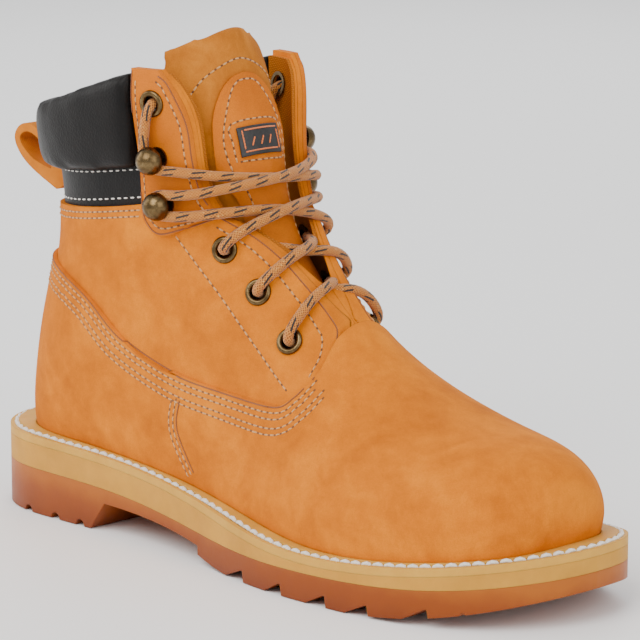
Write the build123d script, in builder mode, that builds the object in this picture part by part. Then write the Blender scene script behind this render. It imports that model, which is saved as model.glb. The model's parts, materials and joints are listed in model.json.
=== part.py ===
from build123d import *
import math
import os

# Ankle-high steel toe work boot for the right foot, European size 43.
# Millimetres, +X to the toe, +Y to the inner (medial) side, +Z up, ground at Z = 0.
# The origin is on the ground under the middle of the boot's overall length.

# ---- driving dimensions -------------------------------------------------
LEATHER = 2.0            # thickness of the upper leather
LAYER_GAP = 0.1          # glue line between two layers of the upper
WELT_THICKNESS = 3.4
STORM_RIM = 1.1          # how far the welt's inner rim stands above its rib
GROOVE = (1.9, 3.5)      # stitch groove in the top of the welt, in from the outline
GROOVE_DEPTH = 1.4
RIM_REACH = 30.0         # the welt runs this far in, under the upper's turned edge
LUG_DEPTH = 5.5
CORK = 3.0
BOARD = 2.2
FOOTBED = 4.5
BAND_OVERLAP = 12.0      # lower panels over the quarters, four rows of stitches
EYELET_HOLE = 6.2
EYELET_FLANGE = 11.0
BALL = 11.6              # diameter of a lace hook's domed head
LACE = 4.2               # diameter of the braided lace
EYELET_BARREL = 3.7      # outer radius of an eyelet's barrel
RIVET = 1.6              # radius of a hook's rivet
EYELET_LENGTH = 6.2      # barrel, through the layers and the washer
HOOK_BASE = 9.0
HOOK_STEM = 4.0
HOOK_HEIGHT = 5.6        # underside of a hook's head over the leather
RIVET_LENGTH = 7.6
AGLET = 18.0
REACH = 90.0             # half width that clears the boot on either side

# Depths below the outer face of the toe leather, from the outside in.
VAMP_OUT, VAMP_IN = 0.0, -LEATHER
QUARTER_OUT = VAMP_IN - LAYER_GAP
QUARTER_IN = QUARTER_OUT - LEATHER
PANEL_OUT = -0.2         # hook panels and backstay lie on the quarters
INSERT_OUT = QUARTER_IN - LAYER_GAP
INSERT_IN = INSERT_OUT - 1.1
LINING_OUT = INSERT_IN - LAYER_GAP
LINING_IN = LINING_OUT - 1.2
CAVITY = LINING_IN - 0.2
PAD_OUT, PAD_IN = 3.2, -10.0
SKIN = 1.2               # cover and lining of the padded collar

# The upper's form, from the toe back and up. Each station is a closed curve
# in a plane that holds the Y axis' direction: ridge x and z, back or bottom
# x and z, half widths outside and inside, the place of the widest point, and
# how square the curve is in its ridge part and in its lower part.
STATIONS = (
    (149.5, 31, 147, 19, 6, 6, 0.50, 2.0, 2.0),
    (151.5, 40, 142, 14, 21, 20, 0.55, 2.0, 2.2),
    (150.5, 49, 133, 11, 31.5, 30, 0.60, 2.0, 2.6),
    (144.5, 57, 121, 10, 39.5, 37, 0.64, 2.05, 3.2),
    (131.5, 63, 107, 10, 46, 42.5, 0.66, 2.1, 3.6),
    (111.5, 67, 89, 10, 50, 46, 0.66, 2.1, 4.0),
    (89, 73, 65, 10, 51, 46.5, 0.68, 2.05, 4.0),
    (68, 81.5, 39, 11, 48, 44, 0.70, 2.0, 4.0),
    (50, 92, 7, 14, 43, 40, 0.70, 2.0, 3.8),
    (36, 104, -28, 17, 39.5, 38, 0.68, 2.0, 3.6),
    (24, 117, -64, 19, 39, 38, 0.64, 2.05, 3.4),
    (14, 129, -100, 20, 39, 38.5, 0.60, 2.2, 3.3),
    (7, 139, -129, 23, 39, 38.5, 0.55, 2.4, 3.0),
    (1.5, 149, -138, 50, 38, 38, 0.52, 2.6, 2.4),
    (-2.5, 158, -134, 78, 38, 38, 0.50, 2.8, 2.2),
    (-6, 168, -126, 106, 38, 38, 0.50, 3.0, 2.2),
    (-9, 180, -124.5, 135, 40, 40, 0.50, 3.1, 2.2),
    (-11.5, 194, -128.5, 166, 42.5, 42.5, 0.50, 3.2, 2.2),
    (-13, 210, -132, 190, 44, 44, 0.50, 3.2, 2.2),
)
TOE_STATIONS = 4         # stations that also move along the boot as the form grows
CURVE_STEPS = 10         # points on each half of a station's curve
UNIT = (1.0, 1.0)        # end tangents keep the spline's own pace

# Sole outline in plan, from the heel's back round the outer side to the toe
# and home along the inner side.
OUTLINE = (
    (-150, 0), (-144.5, -22), (-127, -37), (-99, -41), (-54, -41.5), (-9, -46),
    (41, -55.5), (68, -56.5), (98, -54.5), (129, -46), (152.5, -26), (162, 3),
    (156, 28), (134, 44), (104, 53), (74, 56.5), (44, 54.5), (6, 46),
    (-34, 40.5), (-74, 39.5), (-104, 40.5), (-128, 37), (-144.5, 22),
)
TOE_POINT = 11           # the outline's foremost point
OUTLINE_STEPS = 20       # spans on each side of the outline
# Side view curves (x, z) of the bottom.
WELT_TOP = ((-160, 33.5), (-104, 33), (-54, 31), (-4, 25.5), (56, 18.5), (106, 21), (170, 30.4))
GUM_TOP = ((-160, 19), (-104, 19.2), (-49, 17), (0, 12.3), (56, 11.2), (106, 13), (170, 21.2))
TREAD_REAR = ((-4, 3.6), (6, 1.4), (20, 0))
TREAD_FRONT = ((86, 0), (110, 1.8), (136, 6.2), (170, 15.5))
WAIST = ((-66, 12), (-49, 11.6), (-4, 7.2))
HEEL_FRONT = (-66, -75)  # heel breast, at its top and on the ground
# Plan view curves of the forefoot's two long grooves.
GROOVES = (
    ((-12, -16), (40, -24), (96, -22), (140, -8)),
    ((-12, 14), (40, 22), (96, 24), (140, 12)),
)
GROOVE_HALF = 2.2

# Side view curves (x, z) of the upper's panels.
BAND_TOP = ((-165, 112), (-115, 107.5), (-84, 98.5), (-59, 83), (-30, 73), (-1, 69), (30, 67.5))
QUARTER_FRONT = (
    (30, 67.5), (37, 72.5), (42, 80), (42.5, 87), (39, 95), (33, 101),
    (21, 112), (11, 121), (0, 129.5), (-12, 136),
)
PANEL_FRONT = ((-12, 136), (-18, 145), (-21.5, 158), (-23.5, 174), (-29, 188))
COLLAR_LOW = ((-165, 148), (-140, 148), (-95, 149.5), (-47, 156))
COLLAR_TOP = ((-165, 171), (-140, 171), (-110, 174.5), (-75, 184), (-47, 193))
QUARTER_TOP = ((-165, 128.5), (-140, 129), (-96, 131.5), (-47, 138.5))
PANEL_BACK = -47         # rear edge of the hook panels and front end of the collar
PANEL_TOP = 194
LOW = 8                  # under every edge of the upper
SEAM = ((-12, LOW), (-26, 50), (-23, 71.6))    # the vamp and the counter panel meet here
THROAT = ((42.5, 87), (41.5, 93), (43, 115))   # the vamp's edge over the tongue
PANEL_END = ((-29, 188), (-34, PANEL_TOP), (PANEL_BACK, PANEL_TOP))
EYESTAY_REAR = ((PANEL_BACK + 0.1, 192), (PANEL_BACK + 0.1, 140), (-31, 128.7), (3, 95), (28, 68))
LINING_SEAM = 10         # the two linings meet at this x
LINING_TOP = ((-165, 147.2), (-140, 147.2), (-95, 148.7), (PANEL_BACK, 155.2))

# Lace fastenings on the outer side: a point on the form and its direction out.
EYELETS = (
    ((25, -25, 92), (0.308, -0.838, 0.451)),
    ((7, -24.5, 108.8), (0.381, -0.867, 0.321)),
    ((-9, -27.5, 123.7), (0.407, -0.902, 0.146)),
)
TOP_EYELET = ((-37, -39.5, 180.5), (0.243, -0.965, -0.099))
HOOKS = (
    ((-34, -35.6, 140), (0.213, -0.977, -0.022)),
    ((-36.5, -36.8, 158.6), (0.222, -0.970, -0.096)),
)

# Pull loop in side view: a rounded root that the loop swings about, the loop and its eye.
LOOP_WIDTH = 14.0
LOOP_ROOT = (-133, 137.8)
LOOP_ROOT_RADIUS = 6.7
LOOP_OUTSIDE = (
    (-140, 134.2), (-148.3, 138.2), (-157, 145), (-159.5, 151), (-155.5, 156.2), (-146, 156.2),
    (-138.7, 149.6),
)
LOOP_EYE = (
    (-136.5, 139.5), (-146, 141.9), (-153.5, 146.5), (-156, 150.8), (-153.4, 153.2),
    (-146.5, 152.5), (-139, 145),
)
ANCHOR_OUT = 1.2         # the loop's sewn tab stands this far over the toe leather's depth
ANCHOR_SIDE = ((-160, 130.8), (-110, 130.8), (-110, 147.6), (-160, 147.6))

# Tongue: front face on the middle line x and z, half width, depth of its sides.
TONGUE = (
    (45.5, 79, 15, 8), (35, 88, 17, 13), (25.6, 94.6, 18, 18), (13.4, 105.9, 18, 21),
    (3.4, 118.2, 18, 22), (-4.4, 130, 18, 22), (-9.5, 143.5, 18.5, 21), (-14, 155, 21, 20),
    (-18, 167, 25, 19), (-24, 182, 26, 19), (-29, 196, 30, 19), (-33, 207, 27, 15),
)
TONGUE_DEPTH = 8.0

os.makedirs("parts", exist_ok=True)


# ---- shared shapes ------------------------------------------------------
def station_point(station, grow, degrees):
    """A point of a station's curve in its own plane: down from the ridge, and across."""
    ridge_x, ridge_z, back_x, back_z, outer, inner, widest, square_top, square_low = station
    length = math.hypot(back_x - ridge_x, back_z - ridge_z)
    along = math.cos(math.radians(degrees))
    across = math.sin(math.radians(degrees))
    power = square_top if along >= 0 else square_low
    size = (abs(along) ** power + abs(across) ** power) ** (-1 / power)
    half = widest * length if along >= 0 else (1 - widest) * length
    width = outer if across >= 0 else inner
    down = widest * length - max(0.8, half + grow) * along * size
    return down, -max(0.8, width + grow) * across * size


def even_spline(points, way):
    """A spline with one step of its parameter per point, square to the ridge at both ends."""
    first, last = (math.dist(points[0], points[1]), math.dist(points[-2], points[-1]))
    tangents = [Vector(0, way * first), Vector(0, -way * last)]
    steps = [float(step) for step in range(len(points))]
    return Edge.make_spline([Vector(*point) for point in points], tangents, parameters=steps, scale=False)


def boot_form(grow):
    """The solid inside the upper's outer face, grown or shrunk by a depth."""
    steps = [180 * step / CURVE_STEPS for step in range(CURVE_STEPS + 1)]
    with BuildPart() as form:
        for number, station in enumerate(STATIONS):
            ridge_x, ridge_z, back_x, back_z = station[:4]
            down = Vector(back_x - ridge_x, 0, back_z - ridge_z).normalized()
            ahead = Vector(-down.Z, 0, down.X)
            shift = ahead * grow * max(0.0, 1 - number / TOE_STATIONS)
            plane = Plane(origin=Vector(ridge_x, 0, ridge_z) + shift, x_dir=down, z_dir=ahead)
            outer = [station_point(station, grow, step) for step in steps]
            inner = [station_point(station, grow, step + 180) for step in steps]
            with BuildSketch(plane):
                with BuildLine():
                    add(even_spline(outer, -1))
                    add(even_spline(inner, 1))
                make_face()
        loft()
    return form.part


FORMS = {}


def form_at(depth):
    """One form for each depth, made once."""
    if depth not in FORMS:
        FORMS[depth] = boot_form(depth)
    return FORMS[depth]


def side_space(low, high):
    """The space between two side view curves, through the boot's full width."""
    with BuildPart() as space:
        with BuildSketch(Plane.XZ):
            with BuildLine():
                Spline(*low)
                Line(low[-1], high[-1])
                Spline(*high)
                Line(high[0], low[0])
            make_face()
        extrude(amount=REACH, both=True)
    return space.part


def raised(curve, amount):
    """A side view curve moved straight up."""
    return tuple((x, z + amount) for x, z in curve)


def side_block(*corners):
    """A block through the boot's full width, from a side view polygon."""
    with BuildPart() as block:
        with BuildSketch(Plane.XZ):
            with BuildLine():
                Polyline(*corners, close=True)
            make_face()
        extrude(amount=REACH, both=True)
    return block.part


def half_block(side):
    """Everything on one side of the boot's middle plane: -1 outer, 1 inner."""
    with BuildPart() as block:
        with Locations((0, side * REACH, 100)):
            Box(400, 2 * REACH - 0.2, 300)
    return block.part


def outline_side(points, tangents, inset):
    """One side of the sole's outline, moved in along its own normals."""
    edge = Edge.make_spline([Vector(*point) for point in points], tangents, scale=False)
    moved = []
    for step in range(OUTLINE_STEPS + 1):
        place = step / OUTLINE_STEPS
        way = edge % place
        moved.append(edge @ place + Vector(-way.Y, way.X) * inset)
    return moved


def outline_block(inset):
    """The sole's outline, drawn in by an inset, as a tall block."""
    with BuildPart() as block:
        with BuildSketch(Plane.XY.offset(-5)):
            with BuildLine():
                out, home = ((0, -1), (0, 1)), ((0, 1), (0, -1))
                outer = outline_side(OUTLINE[:TOE_POINT + 1], out, inset)
                inner = outline_side(OUTLINE[TOE_POINT:] + OUTLINE[:1], home, inset)
                Spline(*outer, tangents=out, tangent_scalars=UNIT)
                Spline(outer[-1], *inner[1:-1], outer[0], tangents=home, tangent_scalars=UNIT)
            make_face()
        extrude(amount=60)
    return block.part


def fastening_plane(fastening, depth, side=-1):
    """A plane on a fastening's axis, a depth below the form, facing out."""
    point, out = fastening
    mirror_y = -side
    normal = Vector(out[0], out[1] * mirror_y, out[2]).normalized()
    origin = Vector(point[0], point[1] * mirror_y, point[2]) + normal * depth
    return Plane(origin=origin, z_dir=normal)


WELT_LOW = raised(WELT_TOP, -WELT_THICKNESS)
ABOVE_WELT = side_space(WELT_LOW, raised(WELT_TOP, 250))
SIDES = {"lateral": -1, "medial": 1}

# ---- sole unit ----------------------------------------------------------
with BuildPart() as outsole:
    add(outline_block(0))
    add(side_space(raised(GUM_TOP, -40), GUM_TOP), mode=Mode.INTERSECT)
    heel_top, heel_foot = HEEL_FRONT
    with BuildSketch(Plane.XZ):
        with BuildLine():
            Polyline((-170, -10), (-170, 0), (heel_foot, 0), (heel_top, WAIST[0][1]))
            Spline(*WAIST)
            Line(WAIST[-1], TREAD_REAR[0])
            Spline(*TREAD_REAR)
            Line(TREAD_REAR[-1], TREAD_FRONT[0])
            Spline(*TREAD_FRONT)
            Polyline(TREAD_FRONT[-1], (170, -10), (-170, -10))
        make_face()
    extrude(amount=REACH, both=True, mode=Mode.SUBTRACT)

    # Forefoot lugs: saw-toothed gaps, each with a steep face behind the next lug.
    lug_faces = (28.5, 52.3, 76.4, 97.3, 122.8, 136)
    lug_ramps = (14.5, 11, 12, 13, 11, 5)
    for face_x, ramp in zip(lug_faces, lug_ramps):
        with BuildSketch(Plane.XZ):
            with BuildLine():
                ground = -1 if face_x < 100 else 1.5
                Polyline(
                    (face_x - ramp, ground), (face_x - 1, ground + LUG_DEPTH),
                    (face_x, ground + LUG_DEPTH), (face_x + 1.5, ground - 3),
                    (face_x - ramp, ground - 3), close=True,
                )
            make_face()
        extrude(amount=REACH, both=True, mode=Mode.SUBTRACT)
    # Two grooves along the forefoot part the side lugs from the centre row.
    for groove in GROOVES:
        with BuildSketch(Plane.XY.offset(-1)):
            with BuildLine():
                near, far = ([(x, y + half) for x, y in groove] for half in (-GROOVE_HALF, GROOVE_HALF))
                Spline(*near)
                Line(near[-1], far[-1])
                Spline(*far)
                Line(far[0], near[0])
            make_face()
        extrude(amount=LUG_DEPTH, mode=Mode.SUBTRACT)
    # Heel lugs: short notches in from the edge on both sides and at the back.
    for notch_x in (-115, -97, -81.5):
        for side in (-1, 1):
            with Locations((notch_x, side * 34, 0)):
                Cylinder(2.6, 26, rotation=(90, 0, 0), mode=Mode.SUBTRACT)
    with BuildSketch(Plane.XY.offset(-1)):
        with Locations((-108, 0)):
            SlotOverall(52, 26)
    extrude(amount=4, mode=Mode.SUBTRACT)
outsole.part.label = "outsole"
export_step(outsole.part, "parts/outsole.step")

with BuildPart() as midsole:
    add(outline_block(0))
    add(side_space(GUM_TOP, WELT_LOW), mode=Mode.INTERSECT)
midsole.part.label = "midsole"
export_step(midsole.part, "parts/midsole.step")


def welt_strip(near, far, low, high):
    """A strip of the welt between two insets of the outline and two heights over its top."""
    with BuildPart() as strip:
        add(outline_block(near))
        add(outline_block(far), mode=Mode.SUBTRACT)
        add(side_space(raised(WELT_TOP, low), raised(WELT_TOP, high)), mode=Mode.INTERSECT)
    return strip.part


with BuildPart() as welt:
    add(outline_block(0))
    add(side_space(WELT_LOW, raised(WELT_TOP, -GROOVE_DEPTH)), mode=Mode.INTERSECT)
    add(welt_strip(0, GROOVE[0], -WELT_THICKNESS, 0))
    add(welt_strip(GROOVE[1], RIM_REACH, -WELT_THICKNESS, STORM_RIM))
    add(form_at(0.3), mode=Mode.SUBTRACT)
welt.part.label = "welt"
export_step(welt.part, "parts/welt.step")

with BuildPart() as welt_thread:
    add(welt_strip(GROOVE[0] + 0.1, GROOVE[1] - 0.1, 0.02 - GROOVE_DEPTH, -0.3))
welt_thread.part.label = "welt_thread"
export_step(welt_thread.part, "parts/welt_thread.step")

# ---- inside the bottom --------------------------------------------------
with BuildPart() as shank:
    with Locations((-35, 0, 25)):
        Box(115, 15, 40)
    add(side_space(raised(WELT_LOW, 0.4), raised(WELT_LOW, 1.9)), mode=Mode.INTERSECT)
shank.part.label = "shank"
export_step(shank.part, "parts/shank.step")

with BuildPart() as shank_pocket:
    with Locations((-35, 0, 25)):
        Box(116, 16, 40)
    add(side_space(raised(WELT_LOW, 0.3), raised(WELT_LOW, 2.0)), mode=Mode.INTERSECT)

with BuildPart() as cork_filler:
    add(form_at(CAVITY))
    add(side_space(WELT_LOW, raised(WELT_LOW, CORK)), mode=Mode.INTERSECT)
    add(shank_pocket.part, mode=Mode.SUBTRACT)
cork_filler.part.label = "cork_filler"
export_step(cork_filler.part, "parts/cork_filler.step")

with BuildPart() as insole_board:
    add(form_at(CAVITY))
    add(side_space(raised(WELT_LOW, CORK), raised(WELT_LOW, CORK + BOARD)), mode=Mode.INTERSECT)
insole_board.part.label = "insole_board"
export_step(insole_board.part, "parts/insole_board.step")

with BuildPart() as footbed:
    add(form_at(CAVITY - 0.2))
    bed_low = CORK + BOARD + 0.1
    add(side_space(raised(WELT_LOW, bed_low), raised(WELT_LOW, bed_low + FOOTBED)), mode=Mode.INTERSECT)
footbed.part.label = "footbed"
export_step(footbed.part, "parts/footbed.step")


# ---- upper --------------------------------------------------------------
def shell(outside, inside, *regions, side=0):
    """A layer of the upper between two depths, kept where it lies in every region."""
    with BuildPart() as layer:
        add(form_at(outside))
        for region in regions:
            add(region, mode=Mode.INTERSECT)
        if side:
            add(half_block(side), mode=Mode.INTERSECT)
        add(form_at(inside), mode=Mode.SUBTRACT)
    return layer.part


def side_region(*curves):
    """A region seen from the side, bounded by curves that are joined end to end."""
    with BuildPart() as region:
        with BuildSketch(Plane.XZ):
            with BuildLine():
                last = curves[-1][-1]
                for curve in curves:
                    if math.dist(last, curve[0]) > 0.01:
                        Line(last, curve[0])
                    if len(curve) > 2:
                        Spline(*curve)
                    elif len(curve) == 2:
                        Line(*curve)
                    last = curve[-1]
            make_face()
        extrude(amount=REACH, both=True)
    return region.part


def backwards(curve):
    """The same curve from its other end."""
    return tuple(reversed(curve))


def lace_holes(side, radius, fastenings):
    """Round holes through every layer at the lace fastenings of one side."""
    with BuildPart() as holes:
        for fastening in fastenings:
            with Locations(fastening_plane(fastening, -5, side).location):
                Cylinder(radius, 12)
    return holes.part


vamp_region = side_region(
    SEAM, BAND_TOP[4:], QUARTER_FRONT[:4], THROAT[:2], THROAT[1:], ((170, 115), (170, LOW)),
)
counter_region = side_region(BAND_TOP[:4] + ((-23.2, 71.6),), backwards(SEAM), ((-12, LOW), (-165, LOW)))
quarter_region = side_region(
    raised(BAND_TOP, -BAND_OVERLAP), ((30, 55.5), (37, 68)), QUARTER_FRONT[1:], PANEL_FRONT,
    PANEL_END[:2], PANEL_END[1:], ((PANEL_BACK, PANEL_TOP), QUARTER_TOP[-1]), backwards(QUARTER_TOP),
)
panel_region = side_region(
    PANEL_FRONT, PANEL_END[:2], PANEL_END[1:], ((PANEL_BACK, PANEL_TOP), (-46, 140)),
    ((-46, 140), (-44, 131), (-38, 127), (-28, 129.5), (-12, 136)),
)
facing_region = side_region(
    QUARTER_FRONT[1:], PANEL_FRONT, ((-29, 188), (-33, 192)), ((-33, 192), EYESTAY_REAR[0]),
    EYESTAY_REAR[:2], EYESTAY_REAR[1:], (EYESTAY_REAR[-1], QUARTER_FRONT[1]),
)
band_region = side_region(
    raised(QUARTER_TOP, -10), ((PANEL_BACK, 128.5), (PANEL_BACK, 155.2)), backwards(LINING_TOP),
)
shaft_lining_region = side_region(
    ((LINING_SEAM, LOW), (-165, LOW)), ((-165, LOW), LINING_TOP[0]), LINING_TOP,
    (LINING_TOP[-1], (PANEL_BACK, 192)), ((PANEL_BACK, 192), (-33, 192)), ((-33, 192), (-29, 188)),
    backwards(PANEL_FRONT), backwards(QUARTER_FRONT[7:]), ((11, 121), (LINING_SEAM, 121)),
)
vamp_lining_region = side_region(
    ((LINING_SEAM + 0.2, LOW), (LINING_SEAM + 0.2, 121.5)), backwards(QUARTER_FRONT[4:8]),
    ((39, 95), THROAT[1]), THROAT[1:], ((170, 115), (170, LOW)),
)
cap_region = side_block((86, LOW), (93, 85), (170, 85), (170, LOW))
bumper_region = side_block((80, LOW), (87, 85), (92.8, 85), (85.8, LOW))
stiffener_region = side_region(
    ((-165, 88), (-125, 86), (-95, 74), (-74, 50), (-66, LOW)), ((-66, LOW), (-165, LOW)),
)

for side_name, side in SIDES.items():
    with BuildPart() as quarter:
        add(shell(QUARTER_OUT, QUARTER_IN, quarter_region, ABOVE_WELT, side=side))
        add(lace_holes(side, EYELET_BARREL + 0.1, EYELETS + (TOP_EYELET,)), mode=Mode.SUBTRACT)
        add(lace_holes(side, RIVET + 0.1, HOOKS), mode=Mode.SUBTRACT)
    quarter.part.label = f"quarter_{side_name}"
    export_step(quarter.part, f"parts/quarter_{side_name}.step")

    with BuildPart() as facing:
        add(shell(INSERT_OUT, INSERT_IN, facing_region, side=side))
        add(lace_holes(side, EYELET_BARREL + 0.1, EYELETS + (TOP_EYELET,)), mode=Mode.SUBTRACT)
        add(lace_holes(side, RIVET + 0.1, HOOKS), mode=Mode.SUBTRACT)
    facing.part.label = f"facing_{side_name}"
    export_step(facing.part, f"parts/facing_{side_name}.step")

    with BuildPart() as hook_panel:
        add(shell(PANEL_OUT, VAMP_IN, panel_region, side=side))
        add(lace_holes(side, EYELET_BARREL + 0.1, (TOP_EYELET,)), mode=Mode.SUBTRACT)
        add(lace_holes(side, RIVET + 0.1, HOOKS), mode=Mode.SUBTRACT)
    hook_panel.part.label = f"hook_panel_{side_name}"
    export_step(hook_panel.part, f"parts/hook_panel_{side_name}.step")

with BuildPart() as vamp:
    add(shell(VAMP_OUT, VAMP_IN, vamp_region, ABOVE_WELT))
vamp.part.label = "vamp"
export_step(vamp.part, "parts/vamp.step")

with BuildPart() as counter_panel:
    add(shell(VAMP_OUT, VAMP_IN, counter_region, ABOVE_WELT))
counter_panel.part.label = "counter_panel"
export_step(counter_panel.part, "parts/counter_panel.step")

with BuildPart() as heel_counter:
    add(shell(QUARTER_OUT - 0.1, INSERT_OUT - 0.5, stiffener_region, ABOVE_WELT))
heel_counter.part.label = "heel_counter"
export_step(heel_counter.part, "parts/heel_counter.step")

with BuildPart() as steel_toe_cap:
    add(shell(QUARTER_OUT - 0.1, INSERT_OUT, cap_region, ABOVE_WELT))
steel_toe_cap.part.label = "steel_toe_cap"
export_step(steel_toe_cap.part, "parts/steel_toe_cap.step")

with BuildPart() as toe_cap_bumper:
    add(shell(QUARTER_OUT - 0.1, INSERT_OUT, bumper_region, ABOVE_WELT))
toe_cap_bumper.part.label = "toe_cap_bumper"
export_step(toe_cap_bumper.part, "parts/toe_cap_bumper.step")

with BuildPart() as tongue_slot:
    with Locations((20, 0, 110)):
        Box(80, 46, 90)

with BuildPart() as vamp_lining:
    add(shell(LINING_OUT, LINING_IN, vamp_lining_region, ABOVE_WELT))
    add(tongue_slot.part, mode=Mode.SUBTRACT)
    for side in SIDES.values():
        add(lace_holes(side, EYELET_BARREL + 0.1, EYELETS), mode=Mode.SUBTRACT)
vamp_lining.part.label = "vamp_lining"
export_step(vamp_lining.part, "parts/vamp_lining.step")

with BuildPart() as shaft_lining:
    add(shell(LINING_OUT, LINING_IN, shaft_lining_region, ABOVE_WELT))
    for side in SIDES.values():
        add(lace_holes(side, EYELET_BARREL + 0.1, EYELETS + (TOP_EYELET,)), mode=Mode.SUBTRACT)
        add(lace_holes(side, RIVET + 0.1, HOOKS), mode=Mode.SUBTRACT)
shaft_lining.part.label = "shaft_lining"
export_step(shaft_lining.part, "parts/shaft_lining.step")

with BuildPart() as collar_band:
    add(shell(INSERT_OUT, INSERT_IN, band_region))
collar_band.part.label = "collar_band"
export_step(collar_band.part, "parts/collar_band.step")

with BuildPart() as backstay:
    add(shell(PANEL_OUT, VAMP_IN, side_space(raised(BAND_TOP, 0.4), raised(QUARTER_TOP, -0.5))))
    with Locations((-140, 0, 120)):
        Box(60, 15, 80, mode=Mode.INTERSECT)
backstay.part.label = "backstay"
export_step(backstay.part, "parts/backstay.step")

# ---- padded collar ------------------------------------------------------
def collar_ring(outside, inside, top_drop, front_gap):
    """The collar between two depths, its top lowered and its front ends drawn back."""
    front = PANEL_BACK - front_gap
    top = COLLAR_TOP + ((-30, 198),)
    with BuildPart() as ring:
        add(form_at(outside))
        add(side_space(COLLAR_LOW + ((-30, 158),), raised(top, -top_drop)), mode=Mode.INTERSECT)
        add(side_block((-170, 100), (front, 100), (front, 230), (-170, 230)), mode=Mode.INTERSECT)
        add(form_at(inside), mode=Mode.SUBTRACT)
    return ring.part


with BuildPart() as collar_foam:
    add(collar_ring(PAD_OUT - SKIN, PAD_IN + SKIN, SKIN, 0.6 + SKIN))
collar_foam.part.label = "collar_foam"
export_step(collar_foam.part, "parts/collar_foam.step")

with BuildPart() as collar_lining:
    add(collar_ring(PAD_IN + SKIN - 0.1, PAD_IN, SKIN + 0.1, 0.6 + SKIN))
collar_lining.part.label = "collar_lining"
export_step(collar_lining.part, "parts/collar_lining.step")

with BuildPart() as collar_cover:
    add(collar_ring(PAD_OUT, PAD_IN, 0, 0.6))
    inner_skin = SKIN - 0.05
    add(collar_ring(PAD_OUT - inner_skin, PAD_IN - 1, inner_skin, 0.6 + inner_skin), mode=Mode.SUBTRACT)
collar_cover.part.label = "collar_cover"
export_step(collar_cover.part, "parts/collar_cover.step")

# ---- pull loop ----------------------------------------------------------
with BuildPart() as loop_anchor:
    add(shell(ANCHOR_OUT, INSERT_OUT + LAYER_GAP, side_block(*ANCHOR_SIDE)))
    with Locations((-130, 0, 138)):
        Box(60, LOOP_WIDTH, 60, mode=Mode.INTERSECT)
loop_anchor.part.label = "loop_anchor"
export_step(loop_anchor.part, "parts/loop_anchor.step")

with BuildPart() as pull_loop:
    with BuildSketch(Plane.XZ):
        with BuildLine():
            root_x, root_z = LOOP_ROOT
            foot, head = (root_x, root_z - LOOP_ROOT_RADIUS), (root_x, root_z + LOOP_ROOT_RADIUS)
            Spline(foot, *LOOP_OUTSIDE, head)
            ThreePointArc(head, (root_x + LOOP_ROOT_RADIUS, root_z), foot)
        make_face()
        with BuildLine():
            Spline(*LOOP_EYE, periodic=True)
        make_face(mode=Mode.SUBTRACT)
    extrude(amount=LOOP_WIDTH / 2, both=True)
pull_loop.part.label = "pull_loop"
export_step(pull_loop.part, "parts/pull_loop.step")


# ---- tongue -------------------------------------------------------------
def tongue_slice(place, front, back, spread):
    """A crescent across the tongue between two depths, out to an angle on each side."""
    x, z, half_width, sides = TONGUE[place]
    before = TONGUE[max(place - 1, 0)]
    after = TONGUE[min(place + 1, len(TONGUE) - 1)]
    up = Vector(after[0] - before[0], 0, after[1] - before[1]).normalized()
    angles = [math.radians(spread * step / 4) for step in range(-4, 5)]

    def crescent(depth):
        wide, deep = half_width - depth, sides - depth * 0.6
        return [(wide * math.sin(a), depth + deep * (1 - math.cos(a))) for a in angles]

    with BuildSketch(Plane(origin=(x, 0, z), x_dir=(0, 1, 0), z_dir=up)) as crescent_sketch:
        with BuildLine():
            near, far = crescent(front), backwards(crescent(back))
            Spline(*near)
            Line(near[-1], far[0])
            Spline(*far)
            Line(far[-1], near[0])
        make_face()
    return crescent_sketch.sketch.face()


def tongue_layer(front, back, spread, first=0, last=len(TONGUE) - 1):
    """A layer of the tongue lofted through its slices."""
    slices = [tongue_slice(place, front, back, spread).outer_wire() for place in range(first, last + 1)]
    return Solid.make_loft(slices, ruled=True)


for name, front, back, spread, first, last in (
    ("tongue_face", 0, 1.6, 88, 0, 11),
    ("tongue_foam", 1.7, TONGUE_DEPTH - 1.3, 84, 1, 10),
    ("tongue_lining", TONGUE_DEPTH - 1.2, TONGUE_DEPTH, 84, 0, 11),
    ("tongue_overlay", -1.4, -0.1, 36, 2, 10),
    ("tongue_label", -2.3, -1.5, 24, 8, 9),
):
    with BuildPart() as layer:
        add(tongue_layer(front, back, spread, first, last))
    layer.part.label = name
    export_step(layer.part, f"parts/{name}.step")

# ---- lace hardware ------------------------------------------------------
with BuildPart() as eyelet:
    with BuildSketch(Plane.XZ):
        with BuildLine():
            hole, barrel, flange = EYELET_HOLE / 2, EYELET_BARREL, EYELET_FLANGE / 2
            Polyline((hole, 0.5), (hole, -EYELET_LENGTH), (barrel, -EYELET_LENGTH), (barrel, 0))
            Line((barrel, 0), (flange, 0))
            ThreePointArc((flange, 0), (barrel + 0.4, 1.2), (hole, 0.5))
        make_face()
    revolve(axis=Axis.Z)

with BuildPart() as washer:
    with BuildSketch():
        Circle(EYELET_FLANGE / 2 - 0.3)
        Circle(EYELET_BARREL + 0.05, mode=Mode.SUBTRACT)
    extrude(amount=0.6)
    fillet(washer.edges().filter_by(GeomType.CIRCLE).group_by(Axis.Z)[-1], 0.2)

with BuildPart() as ball_hook:
    with Locations((0, 0, 0.4)):
        Cylinder(HOOK_BASE / 2, 0.8)
    with Locations((0, 0, HOOK_HEIGHT / 2 + 0.5)):
        Cylinder(HOOK_STEM / 2, HOOK_HEIGHT + 1)
    with Locations((0, 0, HOOK_HEIGHT)):
        Sphere(BALL / 2, arc_size1=0, align=(Align.CENTER, Align.CENTER, Align.MIN))

with BuildPart() as rivet:
    with Locations((0, 0, -RIVET_LENGTH / 2)):
        Cylinder(RIVET - 0.05, RIVET_LENGTH)
    with Locations((0, 0, -RIVET_LENGTH - 0.3)):
        Cylinder(3.6, 0.6)


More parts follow.
